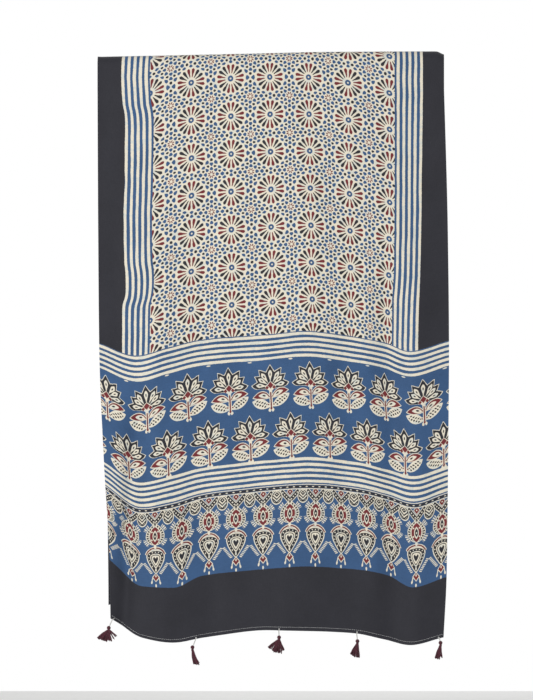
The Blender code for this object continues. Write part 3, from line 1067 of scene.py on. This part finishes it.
def head_tree():
    """A tassel's head: yarn that runs from crown to neck over a ball."""
    growth = Growth("Yarn head", (*COMMON_INPUTS, ("Radius", LENGTH_INPUT), ("Reach", LENGTH_INPUT)))
    s = growth.sketch
    strands = repeated_lines(s, growth.given("Count"), 13)
    share = s.math("DIVIDE", strand_index(s), growth.given("Count"))
    turn = share * (2 * math.pi)
    along = s.out(s.node("GeometryNodeSplineParameter"), "Factor")
    tilt = s.math("MULTIPLY_ADD", along, growth.given("Reach"), 0.06)
    turn = turn + tilt * 0.35
    around = s.math("SINE", tilt) * growth.given("Radius")
    place = s.point(around * s.math("COSINE", turn), around * s.math("SINE", turn),
                    s.math("COSINE", tilt) * growth.given("Radius"))
    return growth.end(tube(s, moved_to(s, strands, place), growth.given("Yarn Radius"), 6))


def binding_tree():
    """Turns of yarn wound side by side round a tassel's neck."""
    growth = Growth("Neck binding", (*COMMON_INPUTS, ("Radius", LENGTH_INPUT), ("Pitch", LENGTH_INPUT)))
    s = growth.sketch
    strands = repeated_lines(s, growth.given("Count"), 25)
    along = s.out(s.node("GeometryNodeSplineParameter"), "Factor")
    turn = along * (2 * math.pi)
    lift = (along + strand_index(s)) * growth.given("Pitch")
    radius = growth.given("Radius")
    place = s.point(s.math("COSINE", turn) * radius, s.math("SINE", turn) * radius, lift * -1.0)
    return growth.end(tube(s, moved_to(s, strands, place), growth.given("Yarn Radius"), 6))


def stitch_tree():
    """A run of stitches along an edge line: a short thread at every step, lying along the line."""
    growth = Growth("Hem stitches", (("Pitch", LENGTH_INPUT), *COMMON_INPUTS))
    s = growth.sketch
    line = s.out(s.node("GeometryNodeMeshToCurve", {"Mesh": growth.given("Geometry")}))
    spacing = {"Curve": line, "Length": growth.given("Pitch")}
    steps = s.out(s.node("GeometryNodeResampleCurve", spacing, mode="LENGTH"))
    half = growth.given("Pitch") * 0.36
    ends = {"Start": s.point(half * -1.0, 0.0), "End": s.point(half, 0.0)}
    short = {"Curve": s.out(s.node("GeometryNodeCurvePrimitiveLine", ends)), "Count": growth.given("Count")}
    stitch = s.out(s.node("GeometryNodeResampleCurve", short, mode="COUNT"))
    stitch = tube(s, stitch, growth.given("Yarn Radius"), 6)
    way = {"Vector": s.out(s.node("GeometryNodeInputTangent"))}
    turned = s.out(s.node("FunctionNodeAlignRotationToVector", way, axis="X"))
    run = {"Points": steps, "Instance": stitch, "Rotation": turned}
    return growth.end(s.out(s.node("GeometryNodeInstanceOnPoints", run)))


def grow(tree, values, base=None):
    """The plain mesh that a geometry tree makes from these named inputs."""
    seed_mesh = base or bpy.data.meshes.new("seed")
    carrier = place_object("carrier", seed_mesh)
    modifier = carrier.modifiers.new("Growth", "NODES")
    modifier.node_group = tree
    for socket in tree.interface.items_tree:
        if socket.in_out == "INPUT" and socket.name in values:
            modifier[socket.identifier] = values[socket.name]
    evaluated = carrier.evaluated_get(bpy.context.evaluated_depsgraph_get())
    mesh = bpy.data.meshes.new_from_object(evaluated)
    bpy.data.objects.remove(carrier)
    return mesh


def join(name, meshes):
    """One mesh from several that share a material, with points and faces in order."""
    points, faces = [], []
    for mesh in meshes:
        start = len(points)
        points += [tuple(v.co) for v in mesh.vertices]
        faces += [tuple(start + n for n in face.vertices) for face in mesh.polygons]
    made = bpy.data.meshes.new(name)
    made.from_pydata(points, [], faces)
    made.materials.append(meshes[0].materials[0])
    made.update()
    made.shade_smooth()
    return made


def ply_tube(line, radius, sides=7):
    """Points and faces of a closed tube along a line of points in metres."""
    line = [Vector(p) for p in line]
    points, faces = [], []
    side = Vector((0.0, 1.0, 0.0))
    for n, here in enumerate(line):
        way = (line[min(n + 1, len(line) - 1)] - line[max(n - 1, 0)]).normalized()
        side = (side - way * side.dot(way)).normalized()
        other = way.cross(side)
        for k in range(sides):
            turn = 2 * math.pi * k / sides
            points.append(here + (side * math.cos(turn) + other * math.sin(turn)) * radius)
    for n in range(len(line) - 1):
        for k in range(sides):
            a, b = n * sides + k, n * sides + (k + 1) % sides
            faces.append((a, b, b + sides, a + sides))
    faces.append(tuple(reversed(range(sides))))
    last = (len(line) - 1) * sides
    faces.append(tuple(range(last, last + sides)))
    return points, faces


# ---------------------------------------------------------------- operators


class STOLE_OT_cloth(bpy.types.Operator):
    """Hang the printed cloth: a thin sheet on the solid's folds, printed on both faces"""

    bl_idname = "stole.hang_cloth"
    bl_label = "Hang Printed Cloth"

    def execute(self, context):
        cloth = context.scene.stole_cloth
        half = CLOTH_WIDTH / 2
        across = np.linspace(-half, half, COLUMNS)
        ups = grid_rows(across)
        middle = np.array([hang(across, up, cloth.ripple) for up in ups])
        along = np.gradient(middle, axis=0)
        over = np.gradient(middle, axis=1)
        outward = np.cross(over, along)
        outward /= np.linalg.norm(outward, axis=2, keepdims=True)
        up_grid = np.array(ups)
        hem = cloth.hem / MM
        from_end = np.minimum(up_grid, CLOTH_LENGTH - up_grid)
        from_side = half - np.abs(across)[None, :] + 0 * up_grid
        turned = 1 - ease(hem - 1.0, hem + 1.0, np.minimum(from_end, from_side + hem - 3.0))
        thick = cloth.thickness + (cloth.hem_thickness - cloth.thickness) * turned
        lift = outward * (thick / MM / 2)[:, :, None]
        points = np.concatenate([(middle + lift).reshape(-1, 3), (middle - lift).reshape(-1, 3)]) * MM
        rows, columns = up_grid.shape
        a = (np.arange(rows - 1)[:, None] * columns + np.arange(columns - 1)[None, :]).ravel()
        back = rows * columns
        front_faces = np.stack([a, a + 1, a + 1 + columns, a + columns], axis=1)
        back_faces = front_faces[:, ::-1] + back
        rim = np.concatenate([
            np.arange(columns - 1), np.arange(rows - 1) * columns + columns - 1,
            (rows - 1) * columns + np.arange(columns - 1, 0, -1), np.arange(rows - 1, 0, -1) * columns])
        after = np.roll(rim, -1)
        rim_faces = np.stack([rim, rim + back, after + back, after], axis=1)
        faces = np.concatenate([front_faces, back_faces, rim_faces])
        flat = np.stack([np.broadcast_to(across, up_grid.shape), up_grid], axis=2).reshape(-1, 2)
        folded = np.stack([(flat[:, 0] + half) / CLOTH_WIDTH,
                           (MIDDLE_LINE - np.abs(flat[:, 1] - MIDDLE_LINE)) / MIDDLE_LINE], axis=1)
        uv_maps = [("cut", np.concatenate([flat, flat]) * MM), ("OFBake", np.concatenate([folded, folded]))]
        mesh = to_mesh("printed_cloth", points, faces, uv_maps)
        mesh.materials.append(cloth_material(context.scene.stole_inks, cloth))
        mesh.shade_smooth()
        mesh.set_sharp_from_angle(angle=math.radians(60))
        finish_piece(place_object("printed_cloth", mesh), "printed_cloth", "cloth")
        return {"FINISHED"}


class STOLE_OT_stitches(bpy.types.Operator):
    """Sew both hems with a run of small stitches"""

    bl_idname = "stole.sew_hems"
    bl_label = "Sew Hems"

    def execute(self, context):
        cloth, tassels = context.scene.stole_cloth, context.scene.stole_tassels
        thread = yarn_material("black sewing thread", (0.03, 0.03, 0.038), 0.6, 0.6, 0.0007)
        tree = stitch_tree()
        lift = cloth.hem_thickness / 2 / MM + 0.10
        runs = []
        across = np.linspace(-CLOTH_WIDTH / 2 + 3, CLOTH_WIDTH / 2 - 3, 2 * COLUMNS)
        inset = cloth.hem / MM - 1.4
        for up in (inset, CLOTH_LENGTH - inset):
            line = hang(across, np.full_like(across, up))
            next_line = hang(across, np.full_like(across, up + 1.0))
            outward = np.cross(np.gradient(line, axis=0), next_line - line)
            outward /= np.linalg.norm(outward, axis=1, keepdims=True)
            for face in (lift, -lift):
                base = bpy.data.meshes.new("stitch line")
                places = (line + outward * face) * MM
                base.from_pydata(places.tolist(), [(n, n + 1) for n in range(len(places) - 1)], [])
                values = {"Pitch": tassels.stitch, "Count": 2, "Yarn Radius": 0.00016, "Material": thread}
                runs.append(grow(tree, values, base))
        finish_piece(place_object("hem_stitches", join("hem_stitches", runs)), "printed_cloth")
        return {"FINISHED"}


class STOLE_OT_tassels(bpy.types.Operator):
    """Bind the five yarn tassels: head, neck binding and locks of strands"""

    bl_idname = "stole.bind_tassels"
    bl_label = "Bind Tassels"

    def execute(self, context):
        sizes = context.scene.stole_tassels
        yarn = yarn_material("burgundy cotton yarn", tuple(sizes.yarn), 0.42, 0.85, 0.0012)
        trees = {"lock": lock_tree(), "head": head_tree(), "binding": binding_tree()}
        common = {"Yarn Radius": sizes.yarn_radius, "Material": yarn}
        for number, ((hem, head_x, head_drop), locks) in enumerate(zip(TASSELS, LOCKS), start=1):
            head = Vector((head_x * MM, hang_one(hem, 0.0).y, -head_drop * MM))
            parts = []
            heads = {"Count": 24, "Radius": (HEAD_RADIUS - 0.4) * MM, "Reach": 2.75, **common}
            parts.append(grow(trees["head"], heads))
            turns = {"Count": 4, "Radius": NECK_RADIUS * MM, "Pitch": 0.00062, **common}
            binding = grow(trees["binding"], turns)
            binding.transform(Matrix.Translation((0.0, 0.0, -(NECK_DROP - 0.9) * MM)))
            parts.append(binding)
            for row, (count, bend, end, spread, fray) in enumerate(locks):
                values = {
                    "Count": count, "Seed": number * 10 + row, "Neck Radius": NECK_RADIUS * 0.62 * MM,
                    "Depth": (0.0, LOCK_DEPTH * MM, 0.0), **common,
                    "Bend": flat_vector(bend), "End": flat_vector(end),
                    "Spread": flat_vector(spread), "Fray": flat_vector(fray),
                }
                lock = grow(trees["lock"], values)
                lock.transform(Matrix.Translation((0.0, 0.0, -(NECK_DROP - 1.2) * MM)))
                parts.append(lock)
            mesh = join(f"yarn_tassel_{number}", parts)
            mesh.transform(Matrix.Translation(head))
            finish_piece(place_object(mesh.name, mesh), "burgundy_yarn", f"tassel_{number}")
        return {"FINISHED"}


def flat_vector(over_and_down):
    """A step across and down the face of the cloth, in metres."""
    over, down = over_and_down
    return (over * MM, 0.0, -down * MM)


class STOLE_OT_threads(bpy.types.Operator):
    """Twist the white threads that tie the tassels to the hem"""

    bl_idname = "stole.tie_threads"
    bl_label = "Tie Threads"

    def execute(self, context):
        sizes = context.scene.stole_tassels
        thread = yarn_material("white cotton thread", tuple(sizes.thread), 0.72, 0.7, 0.0008)
        for number, (hem, head_x, head_drop) in enumerate(TASSELS, start=1):
            edge = hang_one(hem, 0.0)
            above = hang_one(hem + (3.0 if hem < 0 else -3.0) * (abs(hem) > 200), 3.4)
            head = Vector((head_x * MM, edge.y, -head_drop * MM))
            crown = head + (edge - head).normalized() * HEAD_RADIUS * 0.7 * MM
            points, faces = [], []
            for ply in range(3):
                line = thread_line(edge, above, crown, ply, sizes.thread_radius)
                more, ply_faces = ply_tube(line, sizes.thread_radius)
                faces += [tuple(len(points) + n for n in face) for face in ply_faces]
                points += more
            mesh = bpy.data.meshes.new(f"white_thread_{number}")
            mesh.from_pydata(points, [], faces)
            mesh.materials.append(thread)
            mesh.shade_smooth()
            finish_piece(place_object(mesh.name, mesh), "white_thread", f"tassel_thread_{number}")
        return {"FINISHED"}


def thread_line(edge, above, crown, ply, radius):
    """One ply: from a face of the cloth past the hem, then twisted with the others down to the crown."""
    face = Vector((0.0, (-1.1, 1.1, -1.1)[ply] * MM, 0.0))
    aside = Vector(((0.0, 0.0, 0.9)[ply] * MM, 0.0, 0.0))
    way = crown - edge
    side = way.cross(Vector((0, 1, 0))).normalized()
    front = way.normalized().cross(side)
    line = [above + face * 0.4 + aside, above.lerp(edge, 0.5) + face + aside]
    line.append(edge + face * 0.9 + aside * 0.6)
    steps = 26
    for n in range(2, steps + 1):
        share = n / steps
        turn = 2 * math.pi * (ply / 3 + 2.2 * share)
        wide = radius * 1.15 * min(1.0, 4 * (1.02 - share))
        line.append(edge + way * share + (side * math.cos(turn) + front * math.sin(turn)) * wide)
    return line


def lay_floor(level):
    """A pale paper floor. It belongs to the studio and not to the stole."""
    mesh = bpy.data.meshes.new("studio_floor")
    reach, depth = FLOOR_REACH
    corners = [(x * reach, y * depth, level) for x, y in ((-1, -1), (1, -1), (1, 1), (-1, 1))]
    mesh.from_pydata(corners, [], [(0, 1, 2, 3)])
    paper, s, surface = new_material("pale paper")
    place = s.out(s.node("ShaderNodeTexCoord"), "Object")
    grain = s.out(s.noise(place, 60.0, 3.0), "Fac")
    colour = s.blend(grain, (0.80, 0.80, 0.79, 1.0), (0.86, 0.86, 0.85, 1.0))
    s.fill(surface, {"Base Color": colour, "Roughness": 0.9})
    mesh.materials.append(paper)
    place_object("studio_floor", mesh)


def light_world(scene):
    """Even light from all round, behind a white backdrop."""
    world = bpy.data.worlds.new("soft studio")
    world.use_nodes = True
    scene.world = world
    s = Sketch(world.node_tree)
    seen = s.out(s.node("ShaderNodeLightPath"), "Is Camera Ray")
    background = world.node_tree.nodes["Background"]
    background.inputs["Color"].default_value = (1.0, 1.0, 1.0, 1.0)
    s.feed(background.inputs["Strength"], s.math("MULTIPLY_ADD", seen, 1.0 - WORLD_LIGHT, WORLD_LIGHT))


def hang_lamp(name, middle, where, size, power):
    """A soft square lamp that faces the cloth's middle."""
    lamp = bpy.data.lights.new(name, "AREA")
    lamp.size = size
    lamp.energy = power
    holder = bpy.data.objects.new(name, lamp)
    holder.location = middle + where
    holder.rotation_euler = (middle - holder.location).to_track_quat("-Z", "Y").to_euler()
    bpy.context.scene.collection.objects.link(holder)


def set_camera(scene):
    """A long lens that faces the front of the cloth squarely."""
    lens = bpy.data.cameras.new("camera")
    lens.sensor_width = SENSOR
    lens.lens = SENSOR * VIEW_DISTANCE / VIEW_HEIGHT
    camera = bpy.data.objects.new("camera", lens)
    camera.location = (VIEW_CENTRE[0], -VIEW_DISTANCE, VIEW_CENTRE[1])
    camera.rotation_euler = (math.pi / 2, 0.0, 0.0)
    scene.collection.objects.link(camera)
    scene.camera = camera


class STOLE_OT_stage(bpy.types.Operator):
    """Set the pale floor, the soft lights and the camera"""

    bl_idname = "stole.set_stage"
    bl_label = "Set Stage"

    def execute(self, context):
        low, high = CAD_BOX
        lay_floor(low.z - FLOOR_GAP)
        light_world(context.scene)
        for name, where, size, power in LIGHTS:
            hang_lamp(name, (low + high) / 2, Vector(where), size, power)
        set_camera(context.scene)
        context.scene.view_settings.view_transform = "Standard"
        return {"FINISHED"}


class STOLE_PT_panel(bpy.types.Panel):
    """Lists the steps that make the stole"""

    bl_idname = "STOLE_PT_panel"
    bl_label = "Ajrakh Stole"
    bl_space_type = "VIEW_3D"
    bl_region_type = "UI"
    bl_category = "Stole"

    def draw(self, context):
        scene = context.scene
        for group in (scene.stole_cloth, scene.stole_inks, scene.stole_tassels):
            column = self.layout.column(align=True)
            for name in group.__annotations__:
                column.prop(group, name)
        for step in STEPS:
            self.layout.operator(step.bl_idname)


GROUPS = {"stole_cloth": StoleCloth, "stole_inks": StoleInks, "stole_tassels": StoleTassels}
STEPS = (STOLE_OT_stage, STOLE_OT_cloth, STOLE_OT_stitches, STOLE_OT_tassels, STOLE_OT_threads)


def register():
    for made in (*GROUPS.values(), *STEPS, STOLE_PT_panel):
        bpy.utils.register_class(made)
    for name, group in GROUPS.items():
        setattr(bpy.types.Scene, name, bpy.props.PointerProperty(type=group))


def unregister():
    for name in GROUPS:
        delattr(bpy.types.Scene, name)
    for made in reversed((*GROUPS.values(), *STEPS, STOLE_PT_panel)):
        bpy.utils.unregister_class(made)


def main():
    register()
    bpy.ops.stole.set_stage()
    bpy.ops.stole.hang_cloth()
    bpy.ops.stole.sew_hems()
    bpy.ops.stole.bind_tassels()
    bpy.ops.stole.tie_threads()
    numbers = range(1, len(TASSELS) + 1)
    piece_names = ["hem_stitches"]
    piece_names += [f"{kind}_{n}" for kind in ("yarn_tassel", "white_thread") for n in numbers]


if __name__ == "__main__":
    main()
